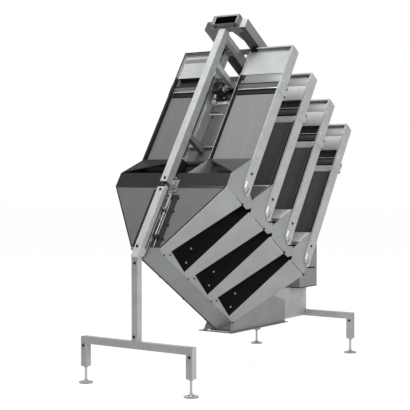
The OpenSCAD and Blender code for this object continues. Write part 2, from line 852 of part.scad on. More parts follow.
// Cylinder beside the beam, in two clamps on the first hopper's front
module gate_cylinder() {
  clamp = 22;
  color(zinc) slope() difference() {
    union() {
      translate([gate_x, cylinder_end_s, gate_n]) rotate([-90, 0, 0])
        cylinder(r = cylinder_r, h = cylinder_len);
      for (s = [cylinder_end_s, cylinder_top_s - clamp])
        block([gate_x - cylinder_r - 1, s, hopper_out],
              [gate_x + cylinder_r + 1, s + clamp, gate_n + cylinder_r + 2]);
    }
    translate([gate_x, cylinder_end_s - 1, gate_n]) rotate([-90, 0, 0])
      cylinder(r = rod_r + fit_gap, h = rod_in_len + rod_room + 1);
  }
}

// Rod that runs out of the cylinder, with a fork head at its lower end
module gate_rod() {
  fork = 26;
  color(zinc) slope() {
    translate([gate_x, rod_end_s, gate_n]) rotate([-90, 0, 0])
      cylinder(r = rod_r, h = rod_out_len + rod_in_len);
    block([gate_x - 9, rod_end_s, gate_n - 9], [gate_x + 9, rod_end_s + fork, gate_n + 9]);
  }
}

// Shutter that the rod's fork head drags over the first hopper's front
module gate_shutter() {
  n0 = hopper_out + belt_gap;
  color(dark) slope() {
    block([shutter_x, rod_end_s, n0], [shutter_x + shutter_w, rod_end_s + shutter_len, n0 + shutter_t]);
    block([gate_x + 9, rod_end_s, n0], [shutter_x + 14, rod_end_s + 26, gate_n + 9]);
  }
}

upper_beam();
lower_beam();
splice_plate();
front_leg();
front_stand();
rear_stand();
rear_column();
rear_spine();
rear_web();
rear_cabinet();
low_arm();
middle_arm();
top_arm();
foot_front_left();
foot_front_right();
foot_rear_left();
foot_rear_right();
tray_1();
tray_2();
tray_3();
tray_4();
side_rails_1();
side_rails_2();
side_rails_3();
side_rails_4();
belts_1();
belts_2();
belts_3();
belts_4();
head_roller_1();
head_roller_2();
head_roller_3();
head_roller_4();
tail_roller_1();
tail_roller_2();
tail_roller_3();
tail_roller_4();
feed_roller_1();
feed_roller_2();
feed_roller_3();
feed_roller_4();
gearmotor_1();
gearmotor_2();
gearmotor_3();
gearmotor_4();
hopper_1();
hopper_2();
hopper_3();
hopper_4();
hopper_cone_1();
hopper_cone_2();
hopper_cone_3();
hopper_cone_4();
collector();
outlet_boot();
feed_head();
control_panel();
gate_cylinder();
gate_rod();
gate_shutter();
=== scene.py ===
"""Looks of an inclined belt grain sorter: four sloping decks of two lanes, their hoppers,
the trough and boot under them, and the frame on two stands. Metres, +Z up."""

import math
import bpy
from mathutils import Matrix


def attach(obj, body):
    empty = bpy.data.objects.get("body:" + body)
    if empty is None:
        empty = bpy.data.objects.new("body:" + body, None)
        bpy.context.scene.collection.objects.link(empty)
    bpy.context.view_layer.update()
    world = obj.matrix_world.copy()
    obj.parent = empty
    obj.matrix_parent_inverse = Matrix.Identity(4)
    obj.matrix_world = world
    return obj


bl_info = {
    "name": "Inclined Belt Grain Sorter",
    "version": (1, 0, 0),
    "blender": (4, 5, 0),
    "location": "3D View > Sidebar > Grain Sorter",
    "description": "Dresses the packed grain sorter with its finishes and fittings",
    "category": "Object",
}

import bmesh
import bpy
from mathutils import Matrix, Vector

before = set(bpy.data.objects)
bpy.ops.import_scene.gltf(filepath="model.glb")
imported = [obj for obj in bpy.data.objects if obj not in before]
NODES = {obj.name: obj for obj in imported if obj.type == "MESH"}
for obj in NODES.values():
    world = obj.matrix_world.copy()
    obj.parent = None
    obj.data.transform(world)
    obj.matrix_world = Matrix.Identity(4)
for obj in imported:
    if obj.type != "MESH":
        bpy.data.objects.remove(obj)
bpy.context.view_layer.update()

# The slope frame: x across, s uphill along a deck, n square out of its face
DECK_ANGLE = math.radians(57)
SLOPE = Matrix.Translation((0, -0.518, 1.913)) @ Matrix.Rotation(DECK_ANGLE, 4, "X")
ROOM = Matrix.Identity(4)
UPHILL = (SLOPE.to_3x3() @ Vector((0, 1, 0))).normalized()
OUTWARD = (SLOPE.to_3x3() @ Vector((0, 0, 1))).normalized()
ACROSS = Vector((1, 0, 0))
UP = Vector((0, 0, 1))
DECKS = (1, 2, 3, 4)
DECK_PITCH = 0.410
MM = 0.001

# Places along a deck, in millimetres of its slope frame
LANE_IN, LANE_OUT = 140, 585
WALL_OUT, RAIL_OUT, PLATE_OUT = 588, 600, 605
TRAY_TOP, PLATE_END, BELT_TOP = 1230, 945, 726
FEED_AXIS, HEAD_AXIS, TAIL_AXIS = (812, -50), (706, -57.3), (34, -57.3)
HOPPER_FACE, BEAM_FACE = 206, 300
KNEE, OUTLET = -412, -1020
MOTOR_AXIS, MOTOR_END, PLATE_START = 736, 99.6, 733
COVER_TOP = -36.6
# Upper ends of the hopper seams, and lengths of the white plates that paint a reflection in the
# hopper mouths, deck by deck
SEAM_TOPS, REFLECTION_PLATE_DEPTHS = (30, 90, 163, 163), (0, 52, 236, 236)


def spot(x, s, n, deck=1):
    """The room place of a point given in millimetres in a deck's slope frame."""
    return SLOPE @ Vector((x * MM, s * MM, n * MM - (deck - 1) * DECK_PITCH))


def tone(code):
    """A colour written as an sRGB hex value, in linear light."""
    parts = [int(code[i:i + 2], 16) / 255 for i in (1, 3, 5)]
    return [c / 12.92 if c <= 0.04045 else ((c + 0.055) / 1.055) ** 2.4 for c in parts] + [1.0]


def add(tree, kind, settings=(), links=()):
    """Add one shader node, with its settings and the links into it."""
    made = tree.nodes.new(kind)
    for key, value in dict(settings).items():
        if isinstance(key, str) and hasattr(made, key):
            setattr(made, key, value)
        else:
            made.inputs[key].default_value = value
    for key, socket in dict(links).items():
        tree.links.new(socket, made.inputs[key])
    return made


def surface(name, roughness, metallic=0.0, coat=0.0, coat_roughness=0.1):
    """A new material with its shader; returns the material, its tree and the shader."""
    material = bpy.data.materials.new(name)
    material.use_nodes = True
    tree = material.node_tree
    tree.nodes.clear()
    shader = add(tree, "ShaderNodeBsdfPrincipled", {
        "Roughness": roughness, "Metallic": metallic,
        "Coat Weight": coat, "Coat Roughness": coat_roughness})
    add(tree, "ShaderNodeOutputMaterial", links={"Surface": shader.outputs["BSDF"]})
    return material, tree, shader


def mapped(tree, scale, turn=(0, 0, 0)):
    """Object coordinates, turned and then scaled."""
    place = add(tree, "ShaderNodeTexCoord")
    turned = add(tree, "ShaderNodeMapping", {"Rotation": turn}, {"Vector": place.outputs["Object"]})
    return add(tree, "ShaderNodeMapping", {"Scale": scale},
               {"Vector": turned.outputs["Vector"]}).outputs["Vector"]


def shades(tree, factor, colour, spread):
    """A colour that wanders from a little darker to a little lighter than the one given."""
    mix = add(tree, "ShaderNodeMix", {"data_type": "RGBA"})
    mix.inputs["A"].default_value = [c * (1 - spread) for c in colour[:3]] + [1.0]
    mix.inputs["B"].default_value = [min(1.0, c * (1 + spread)) for c in colour[:3]] + [1.0]
    tree.links.new(factor, mix.inputs["Factor"])
    return mix.outputs["Result"]


def bumped(tree, shader, height, strength, distance):
    """Bump from a height."""
    bump = add(tree, "ShaderNodeBump", {"Strength": strength, "Distance": distance},
               {"Height": height})
    tree.links.new(bump.outputs["Normal"], shader.inputs["Normal"])


def remap(tree, value, low, high, to_low=0.0, to_high=1.0):
    """A value stretched from one range to another."""
    return add(tree, "ShaderNodeMapRange",
               {"From Min": low, "From Max": high, "To Min": to_low, "To Max": to_high},
               {"Value": value}).outputs["Result"]


def galvanised(name, colour, roughness=0.5):
    """Hot-dip galvanised steel: spangle crystals about 14 mm wide give each patch its grey."""
    material, tree, shader = surface(name, roughness, 0.15)
    at = mapped(tree, (1, 1, 1))
    crystals = add(tree, "ShaderNodeTexVoronoi", {"Scale": 1 / 0.014, "Randomness": 0.9},
                   {"Vector": at})
    cloud = add(tree, "ShaderNodeTexNoise", {"Scale": 9.0, "Detail": 4.0}, {"Vector": at})
    both = add(tree, "ShaderNodeMath", {"operation": "MULTIPLY_ADD", 1: 0.45},
               {0: crystals.outputs["Color"], 2: cloud.outputs["Fac"]})
    tree.links.new(shades(tree, remap(tree, both.outputs[0], 0.3, 1.05), colour, 0.16),
                   shader.inputs["Base Color"])
    bumped(tree, shader, cloud.outputs["Fac"], 0.15, 0.0006)
    return material


def rolled(name, colour, roughness=0.42, metallic=0.25, along="slope"):
    """Cold-rolled sheet with a brushed skin: grain lines about 1 mm apart, drawn 4 mm wide."""
    material, tree, shader = surface(name, roughness, metallic)
    turn = (-DECK_ANGLE, 0, 0) if along == "slope" else (0, 0, 0)
    stretch = {"slope": (250, 4, 250), "level": (4, 250, 250), "upright": (250, 250, 4)}[along]
    grain = add(tree, "ShaderNodeTexNoise", {"Scale": 1.0, "Detail": 3.0},
                {"Vector": mapped(tree, stretch, turn)})
    cloud = add(tree, "ShaderNodeTexNoise", {"Scale": 3.2, "Detail": 3.0, "Roughness": 0.55},
                {"Vector": mapped(tree, (1, 1, 1))})
    both = add(tree, "ShaderNodeMath", {"operation": "MULTIPLY_ADD", 1: 0.35},
               {0: grain.outputs["Fac"], 2: cloud.outputs["Fac"]})
    tree.links.new(shades(tree, remap(tree, both.outputs[0], 0.42, 0.95), colour, 0.13),
                   shader.inputs["Base Color"])
    bumped(tree, shader, grain.outputs["Fac"], 0.08, 0.0004)
    return material


def painted(name, colour, roughness=0.45, coat=0.1):
    """Stoved paint over steel: a fine orange peel about 3 mm wide and faint rubbed patches."""
    material, tree, shader = surface(name, roughness, 0.0, coat, 0.25)
    at = mapped(tree, (1, 1, 1))
    peel = add(tree, "ShaderNodeTexNoise", {"Scale": 1 / 0.003, "Detail": 1.0}, {"Vector": at})
    rub = add(tree, "ShaderNodeTexNoise", {"Scale": 7.0, "Detail": 5.0, "Roughness": 0.6},
              {"Vector": at})
    tree.links.new(shades(tree, remap(tree, rub.outputs["Fac"], 0.35, 0.75), colour, 0.09),
                   shader.inputs["Base Color"])
    bumped(tree, shader, peel.outputs["Fac"], 0.06, 0.0003)
    return material


def belting(name, colour):
    """Cotton-faced rubber belting: threads 1.5 mm apart, drawn 3 mm, and streaks from the grain."""
    material, tree, shader = surface(name, 0.85)
    turn = (-DECK_ANGLE, 0, 0)
    weave = add(tree, "ShaderNodeTexWave", {"Scale": 26.0, "bands_direction": "Y",
                                            "Distortion": 0.4},
                {"Vector": mapped(tree, (1, 4, 1), turn)})
    ribs = add(tree, "ShaderNodeTexWave", {"Scale": 26.0, "bands_direction": "X",
                                           "Distortion": 0.4},
               {"Vector": mapped(tree, (4, 1, 1), turn)})
    cloth = add(tree, "ShaderNodeMath", {"operation": "MULTIPLY"},
                {0: weave.outputs["Fac"], 1: ribs.outputs["Fac"]})
    streak = add(tree, "ShaderNodeTexNoise", {"Scale": 1.0, "Detail": 4.0},
                 {"Vector": mapped(tree, (22, 1.8, 22), turn)})
    both = add(tree, "ShaderNodeMath", {"operation": "MULTIPLY_ADD", 1: 0.12},
               {0: cloth.outputs[0], 2: streak.outputs["Fac"]})
    tree.links.new(shades(tree, remap(tree, both.outputs[0], 0.3, 0.85), colour, 0.1),
                   shader.inputs["Base Color"])
    bumped(tree, shader, cloth.outputs[0], 0.25, 0.0006)
    return material


def plain(name, colour, roughness, metallic=0.0, coat=0.0, spread=0.05, gloss=0.5):
    """Moulded plastic, rubber or turned steel with a faint cloudiness 20 mm across."""
    material, tree, shader = surface(name, roughness, metallic, coat, 0.1)
    shader.inputs["Specular IOR Level"].default_value = gloss
    cloud = add(tree, "ShaderNodeTexNoise", {"Scale": 50.0, "Detail": 3.0},
                {"Vector": mapped(tree, (1, 1, 1))})
    tree.links.new(shades(tree, remap(tree, cloud.outputs["Fac"], 0.3, 0.7), colour, spread),
                   shader.inputs["Base Color"])
    bumped(tree, shader, cloud.outputs["Fac"], 0.05, 0.0005)
    return material


# Each finish: how it is made, its name, its colour (a setting's name or an sRGB hex value)
# and the rest of its maker's arguments
FINISH_TABLE = {
    "tube": (galvanised, "galvanised tube", "tube"),
    "tube_side": (galvanised, "galvanised tube in shade", "#969899"),
    # A darker copy of the galvanised tube for the shaded faces of the legs and stands: painted
    # shade
    "leg": (galvanised, "galvanised leg", "#9FA1A2"),
    "rail": (galvanised, "galvanised rail", "rail"),
    "web": (galvanised, "galvanised web", "#B4B6B7"),
    "arm": (galvanised, "galvanised arm", "#A9ABAC"),
    "tray": (rolled, "rolled steel tray", "sheet"),
    # A near white for thin strips and faces along edges: painted highlight
    "edge": (rolled, "bright cut edge", "#F2F3F4", 0.3, 0.3),
    "feed_plate": (rolled, "polished feed plate", "feed_plate", 0.3, 0.3, "level"),
    "panel": (rolled, "rolled middle panel", "#707273"),
    "cover": (rolled, "rolled middle cover", "#686A6B"),
    "side": (rolled, "rolled hopper side", "hopper"),
    "front": (rolled, "rolled hopper front", "hopper_front"),
    # A very dark grey for the first hopper's lip strip and flange: painted shade; the gate's
    # shutter and track take the same grey
    "lip": (rolled, "rolled hopper lip", "#2A2B2C"),
    "guide": (rolled, "rolled hopper guide", "#585A5B"),
    # A pale grey for the first hopper's inner wall beside the right lane, lighter than the rest of
    # its inside: painted light
    "mouth_wall_painted_light": (rolled, "bright wall of the first mouth", "#C9CBCC"),
    "guide_left": (rolled, "rolled hopper guide in shade", "#1C1D1E", 0.6, 0.1),
    # Near black for the hopper fronts in the gaps between decks and for the cabinet's underside:
    # painted shade
    "painted_shade_black": (rolled, "hopper front in the gap", "#121313", 0.7, 0.0),
    # A dark grey for the hoppers' insides: painted shade in the hollows
    "inside": (rolled, "hopper inside", "#4E5051"),
    # Near white for plates that stand in for the bright reflections in the hopper mouths: painted
    # reflection
    "wear_plate": (plain, "white wear plate", "#FCFDFE", 0.5),
    # Dark greys for the tray floor in the recess by the feed roller, darkest on the first deck:
    # painted shade
    "well": (rolled, "rolled tray well", "#242526", 0.6, 0.1),
    "well_back": (rolled, "rolled tray well behind", "#5A5B5C", 0.6, 0.1),
    "head_dark": (painted, "stoved feed head in shade", "#4C4E4F"),
    # A lighter copy of the feed plate for decks 2 to 4, to make up for the shade they lie in:
    # painted light
    "plate_back": (rolled, "polished feed plate behind", "#ECEDEE", 0.3, 0.3, "level"),
    # A mid grey that paints shade and reflections: on the first tray's head wall, in bands across
    # the feed plates and on the right lane's cover; the panel's top takes it too
    "band": (rolled, "rolled feed cover", "#8E9091", 0.42, 0.25, "level"),
    "trough": (rolled, "rolled trough", "#848687"),
    "boot": (rolled, "rolled boot", "boot", 0.42, 0.25, "level"),
    "cabinet": (painted, "stoved grey cabinet", "cabinet"),
    "head": (painted, "stoved grey feed head", "head"),
    # Lighter and darker copies of the head's paint for its front face and its underside: painted
    # light and painted shade
    "head_face": (painted, "stoved pale feed head face", "#CACCCD"),
    "head_low_painted_shade": (painted, "stoved feed head underside", "#808283"),
    "bezel": (painted, "grey bezel", "#8F9192"),
    # A darker copy of the bezel grey for the panel's underside and right end: painted shade
    "bezel_painted_shade": (painted, "grey bezel underside", "#6A6C6D"),
    "enamel": (painted, "black stoved enamel", "#1A1B1D", 0.4, 0.2),
    "belt_front": (belting, "belting of the first deck", "belt_front"),
    "belt_left": (belting, "belting of the first deck, left", "#747474"),
    # The covered decks' belts get a darker grey than the first deck's: painted shade between the
    # decks
    "belt": (belting, "belting of the covered decks", "belt"),
    "roller": (plain, "turned steel roller", "#8A8C8D", 0.25, 0.7),
    "plate": (plain, "zinc-plated steel", "#B4B6B8", 0.32, 0.6),
    "bolt": (plain, "black oxide bolt", "#1E2021", 0.5, 0.3),
    "washer": (plain, "zinc-plated washer", "#DCDEE0", 0.3, 0.5),
    # Black of real rubber, also used for strips and faces of painted shade
    "rubber": (plain, "black rubber", "rubber", 0.8),
    # Dark grey of sealed seams, also used for painted shade under the collector and on the right
    # lane's cover
    "seam": (plain, "seam filled with sealer", "#2A2B2C", 0.9),
    # Black of the screen, also used for plates of painted shade on the hoppers
    "screen": (plain, "glass screen, off", "#010101", 0.9, 0.0, 0.0, 0.0, 0.02),
    # White for pads that stand in for glints on the rails: painted highlight
    "pad": (plain, "white end pad", "#FFFFFF", 0.5, 0.0, 0.0, 0.0),
    # Near white for the covers over the lower decks' head rollers, brighter than their shade
    # allows: painted light
    "collar": (rolled, "bright cover of a head roller", "#FAFBFC", 0.4, 0.1, "level"),
    "cylinder": (plain, "anodised cylinder", "#8E9092", 0.5, 0.2),
}
FINISH = {}


def finish_of(key):
    """The material of a finish, made the first time it is asked for."""
    if key not in FINISH:
        maker, name, colour, *rest = FINISH_TABLE[key]
        if not colour.startswith("#"):
            colour = list(getattr(bpy.context.scene.sorter_colours, colour)) + [1.0]
        else:
            colour = tone(colour)
        FINISH[key] = maker(name, colour, *rest)
    return FINISH[key]


def in_slope(point, deck=1):
    """A room point in a deck's slope frame, in millimetres."""
    local = SLOPE.inverted() @ point
    return local.x / MM, local.y / MM, (local.z + (deck - 1) * DECK_PITCH) / MM


def dress(node, base, rules=(), deck=1, room=False):
    """Give a CAD node a finish, and others to the faces that a rule picks.
    A rule gets the face's middle and normal in the deck's slope frame or in the room."""
    thing = NODES[node]
    thing.data.materials.clear()
    for name in [base] + [r[0] for r in rules]:
        thing.data.materials.append(finish_of(name))
    back = SLOPE.to_3x3().inverted()
    for face in thing.data.polygons:
        middle = face.center / MM if room else Vector(in_slope(face.center, deck))
        normal = face.normal if room else back @ face.normal
        face.material_index = 0
        for index, (_, test) in enumerate(rules, 1):
            if test(middle, normal):
                face.material_index = index
                break


def finish_piece(name, mesh, material, body="frame", angle=35):
    """Turn a bmesh into a finished piece that rides on a body."""
    data = bpy.data.meshes.new(name)
    bmesh.ops.recalc_face_normals(mesh, faces=mesh.faces)
    mesh.to_mesh(data)
    mesh.free()
    for face in data.polygons:
        face.use_smooth = True
    data.set_sharp_from_angle(angle=math.radians(angle))
    thing = bpy.data.objects.new(name, data)
    bpy.context.scene.collection.objects.link(thing)
    data.materials.append(finish_of(material))
    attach(thing, body)
    return thing


def facing(at, out):
    """A matrix that stands a shape made along +Z at a place, pointing out."""
    turn = UP.rotation_difference(Vector(out)).to_matrix().to_4x4()
    return Matrix.Translation(at) @ turn


def add_disc(mesh, at, out, radius, depth, segments=20, taper=1.0, lift=0.0):
    """A turned disc or cone whose foot is at a place."""
    place = facing(at, out) @ Matrix.Translation((0, 0, lift + depth / 2))
    made = bmesh.ops.create_cone(mesh, cap_ends=True, segments=segments, radius1=radius,
                                 radius2=radius * taper, depth=depth, matrix=place)
    return made["verts"]


def add_ring(mesh, at, out, outer, inner, depth, segments=32, lift=0.0):
    """A flat ring with a square section, spun about its axis."""
    place = facing(at, out)
    corners = [mesh.verts.new(place @ Vector((r, 0, z))) for r, z in (
        (inner, lift), (outer, lift), (outer, lift + depth), (inner, lift + depth))]
    edges = [mesh.edges.new((corners[i], corners[(i + 1) % 4])) for i in range(4)]
    bmesh.ops.spin(mesh, geom=corners + edges, cent=Vector(at), axis=Vector(out),
                   angle=2 * math.pi, steps=segments, use_merge=True)
    bmesh.ops.remove_doubles(mesh, verts=mesh.verts, dist=1e-6)


def add_bolt(mesh, at, out, across=0.019, washer=0.0125):
    """A hexagon bolt head with its washer and chamfered crown."""
    add_disc(mesh, at, out, washer, 0.0022, 20, 1.0, -0.0002)
    add_disc(mesh, at, out, across / 2 * 1.155, 0.0065, 6, 1.0, 0.002)
    add_disc(mesh, at, out, across / 2 * 0.98, 0.0012, 18, 0.86, 0.0085)


def add_box(mesh, low, high, place=SLOPE, bevel=0.0):
    """A box from its lowest to its highest corner, in millimetres of a frame."""
    low, high = Vector(low) * MM, Vector(high) * MM
    size = high - low
    turn = place @ Matrix.Translation((low + high) / 2) @ Matrix.Diagonal((*size, 1))
    made = bmesh.ops.create_cube(mesh, size=1.0, matrix=turn)["verts"]
    if bevel:
        edges = list({e for v in made for e in v.link_edges})
        bmesh.ops.bevel(mesh, geom=edges, offset=bevel * MM, segments=2, profile=0.5,
                        affect="EDGES", material=-1)


def add_bar(mesh, start, end, width, height, side=UP):
    """A straight bar between two room points, its width across the given side."""
    along = (end - start).normalized()
    out = (side - along * side.dot(along)).normalized()
    place = Matrix((along.cross(out), out, along)).transposed().to_4x4()
    place.translation = (start + end) / 2
    bmesh.ops.create_cube(mesh, size=1.0, matrix=place @ Matrix.Diagonal(
        (width, height, (end - start).length, 1)))


def add_plate(mesh, outline, low, high, deck=1):
    """A flat plate whose outline is drawn in s and n, from one x to another."""
    face = mesh.faces.new([mesh.verts.new(spot(low, s, n, deck)) for s, n in outline])
    grown = bmesh.ops.extrude_face_region(mesh, geom=[face])["geom"]
    for part in grown:
        if isinstance(part, bmesh.types.BMVert):
            part.co.x += (high - low) * MM


def deck_frame(deck):
    """The slope frame of one deck."""
    return SLOPE @ Matrix.Translation((0, 0, -(deck - 1) * DECK_PITCH))


def strips(name, finish, boxes, place=SLOPE, bevel=0.6, body="frame"):
    """One piece of folded or cut strips, each a box with rounded edges."""
    mesh = bmesh.new()
    for low, high in boxes:
        add_box(mesh, low, high, place, bevel)
    return finish_piece(name, mesh, finish, body)


def mirrored(boxes):
    """The boxes, and the same on the other side of the machine."""
    return list(boxes) + [((-h[0], l[1], l[2]), (-l[0], h[1], h[2])) for l, h in boxes]


def colour_setting(name, description, code):
    """A colour that can be set, its default given as an sRGB hex value."""
    return bpy.props.FloatVectorProperty(
        name=name, description=description, subtype="COLOR", default=tone(code)[:3],
        min=0.0, max=1.0)


class SorterColours(bpy.types.PropertyGroup):
    """Colours of the main finishes, as they are seen in plain light."""
    tube: colour_setting("Tube", "Galvanised beam and posts", "#BEC0C1")
    rail: colour_setting("Rails", "Galvanised rails beside the decks", "#B0B2B3")
    sheet: colour_setting("Trays", "Rolled sheet of the trays", "#B4B6B7")
    feed_plate: colour_setting("Feed plates", "Polished sheet at the head of a lane", "#CDCFD0")
    hopper: colour_setting("Hopper sides", "Rolled sheet of the hoppers", "#9B9D9E")
    hopper_front: colour_setting("Hopper front", "Front of the first hopper", "#727475")
    boot: colour_setting("Boot", "Rolled sheet of the outlet boot", "#8C8E8F")
    cabinet: colour_setting("Cabinet", "Paint of the rear cabinet", "#868889")
    head: colour_setting("Feed head", "Paint of the feed head", "#868889")
    belt_front: colour_setting("First belts", "Cloth face of the first deck's belts", "#8B8B8B")
    # Darker than the first belts: painted shade between the decks
    belt: colour_setting("Covered belts", "Cloth face of the belts behind", "#757677")
    # Black of the feet, glands and skirts, also used for strips and faces of painted shade
    rubber: colour_setting("Rubber", "Skirts, seals and spouts", "#121213")


class SorterSizes(bpy.types.PropertyGroup):
    """Sizes of the fittings."""
    bolt_across: bpy.props.FloatProperty(
        name="Bolt head", description="Width across the flats of the frame's bolts",
        default=0.019, unit="LENGTH")
    small_bolt: bpy.props.FloatProperty(
        name="Small bolt head", description="Width across the flats of the sheet bolts",
        default=0.013, unit="LENGTH")
    seam_width: bpy.props.FloatProperty(
        name="Seam", description="Width of a seam between two sheets", default=0.005,
        unit="LENGTH")
    skirt: bpy.props.FloatProperty(
        name="Skirt", description="Thickness of the rubber skirts beside the belts",
        default=0.004, unit="LENGTH")
    fins: bpy.props.IntProperty(
        name="Motor fins", description="Cooling fins round each motor", default=6, min=2)


class SorterStage(bpy.types.PropertyGroup):
    """Camera and light."""
    azimuth: bpy.props.FloatProperty(
        name="Azimuth", description="Turn of the camera round the machine",
        default=math.radians(34.87), subtype="ANGLE")
    elevation: bpy.props.FloatProperty(
        name="Elevation", description="Height of the camera as an angle",
        default=math.radians(1.58), subtype="ANGLE")
    distance: bpy.props.FloatProperty(
        name="Distance", description="Distance of the camera from its target",
        default=10.0, unit="LENGTH")
    lens: bpy.props.FloatProperty(
        name="Lens", description="Focal length on a 36 mm sensor", default=98.08)
    world_level: bpy.props.FloatProperty(
        name="World level", description="Strength of the even light from all round",
        default=0.36, min=0.0)
    top_level: bpy.props.FloatProperty(
        name="Top level", description="Power of the lamp overhead", default=500.0)
    side_level: bpy.props.FloatProperty(
        name="Side level", description="Power of the lamp on the right", default=220.0)
    rear_level: bpy.props.FloatProperty(
        name="Rear level", description="Power of the lamp behind", default=110.0)


class SORTER_OT_stage(bpy.types.Operator):
    """Make the floor, the backdrop, the lamps and the camera"""
    bl_idname = "sorter.stage"
    bl_label = "Stage"

    def execute(self, context):
        scene = context.scene
        setup = scene.sorter_stage
        scene.view_settings.view_transform = "Standard"
        world = bpy.data.worlds.new("studio")
        scene.world = world
        world.use_nodes = True
        tree = world.node_tree
        tree.nodes.clear()
        rays = add(tree, "ShaderNodeLightPath")
        seen = add(tree, "ShaderNodeMath", {"operation": "MAXIMUM"},
                   {0: rays.outputs["Is Camera Ray"], 1: rays.outputs["Is Transmission Ray"]})
        level = add(tree, "ShaderNodeMapRange", {"To Min": setup.world_level, "To Max": 1.0},
                    {"Value": seen.outputs[0]})
        shine = add(tree, "ShaderNodeBackground", {"Color": (1, 1, 1, 1)},
                    {"Strength": level.outputs["Result"]})
        add(tree, "ShaderNodeOutputWorld", links={"Surface": shine.outputs[0]})

        floor_mesh = bmesh.new()
        bmesh.ops.create_grid(floor_mesh, x_segments=1, y_segments=1, size=40.0)
        data = bpy.data.meshes.new("floor")
        floor_mesh.to_mesh(data)
        floor_mesh.free()
        floor = bpy.data.objects.new("floor", data)
        scene.collection.objects.link(floor)
        floor.location = (0, 0, -0.0005)
        paper = bpy.data.materials.new("white paper floor")
        paper.use_nodes = True
        ftree = paper.node_tree
        ftree.nodes.clear()
        sheet = add(ftree, "ShaderNodeBsdfDiffuse", {"Color": (0.9, 0.9, 0.9, 1)})
        glow = add(ftree, "ShaderNodeEmission", {"Color": (1, 1, 1, 1), "Strength": 1.08})
        frays = add(ftree, "ShaderNodeLightPath")
        seen = add(ftree, "ShaderNodeMath", {"operation": "MAXIMUM"},
                   {0: frays.outputs["Is Camera Ray"], 1: frays.outputs["Is Glossy Ray"]})
        share = add(ftree, "ShaderNodeMath", {"operation": "MULTIPLY", 1: 0.88},
                    {0: seen.outputs[0]})
        both = add(ftree, "ShaderNodeMixShader", links={
            0: share.outputs[0], 1: sheet.outputs[0], 2: glow.outputs[0]})
        add(ftree, "ShaderNodeOutputMaterial", links={"Surface": both.outputs[0]})
        data.materials.append(paper)

        for name, at, size, power in (
                ("top lamp", (0.4, -3.4, 9.0), 4.0, setup.top_level),
                ("side lamp", (7.6, -0.9, 3.4), 4.0, setup.side_level),
                ("rear lamp", (-4.0, 6.0, 4.5), 4.0, setup.rear_level)):
            lamp = bpy.data.lights.new(name, "AREA")
            lamp.shape = "SQUARE"
            lamp.size = size
            lamp.energy = power
            thing = bpy.data.objects.new(name, lamp)
            scene.collection.objects.link(thing)
            thing.location = at
            thing.rotation_mode = "QUATERNION"
            thing.rotation_quaternion = (Vector((0, 0, 1.6)) - Vector(at)).to_track_quat("-Z", "Y")

        view = bpy.data.cameras.new("camera")
        view.lens = setup.lens
        view.sensor_width = 36.0
        view.clip_end = 200.0
        camera = bpy.data.objects.new("camera", view)
        scene.collection.objects.link(camera)
        turn, rise = setup.azimuth, setup.elevation
        back = Vector((math.sin(turn) * math.cos(rise), -math.cos(turn) * math.cos(rise),
                       math.sin(rise)))
        upward = back.cross(UP.cross(back)).normalized()
        camera.location = Vector((0, -0.379, 1.5)) + upward * 0.0046 + back * setup.distance
        camera.rotation_mode = "QUATERNION"
        camera.rotation_quaternion = (-back).to_track_quat("-Z", "Y")
        scene.camera = camera
        return {"FINISHED"}


class SORTER_OT_frame_finishes(bpy.types.Operator):
    """Give the beam, the posts, the stands and the feet their finishes"""
    bl_idname = "sorter.frame_finishes"
    bl_label = "Frame finishes"

    def execute(self, context):
        # The beams' side and under faces get darker greys than their fronts: painted shade on one
        # galvanised tube
        dress("upper_beam", "tube", [("tube_side", lambda m, v: abs(v.x) > 0.7 or v.z < -0.7)])
        dress("lower_beam", "tube", [("rail", lambda m, v: abs(v.x) > 0.7 or v.z < -0.7)])
        # The front leg and front stand are darker on their fronts than on their sides, the rear
        # stand darker on its sides than its front: painted light and shade on one galvanised tube
        for node in ("front_leg", "front_stand"):
            dress(node, "leg", [("rail", lambda m, v: abs(v.x) > 0.7)], room=True)
        dress("rear_stand", "tube", [("leg", lambda m, v: abs(v.x) > 0.7)], room=True)
        for node in ("rear_column", "rear_spine"):
            dress(node, "tube")
        for node in ("middle_arm", "top_arm", "splice_plate"):
            dress(node, "arm")
        dress("low_arm", "panel")
        dress("rear_web", "web")
        # The cabinet's underside gets near black: painted shade
        dress("rear_cabinet", "cabinet", [("painted_shade_black", lambda m, v: v.z < -0.9)], room=True)
        for node in ("foot_front_left", "foot_front_right", "foot_rear_left", "foot_rear_right"):
            dress(node, "plate", [("rubber", lambda m, v: m.z < 6 and v.z < 0.5)], room=True)
        return {"FINISHED"}


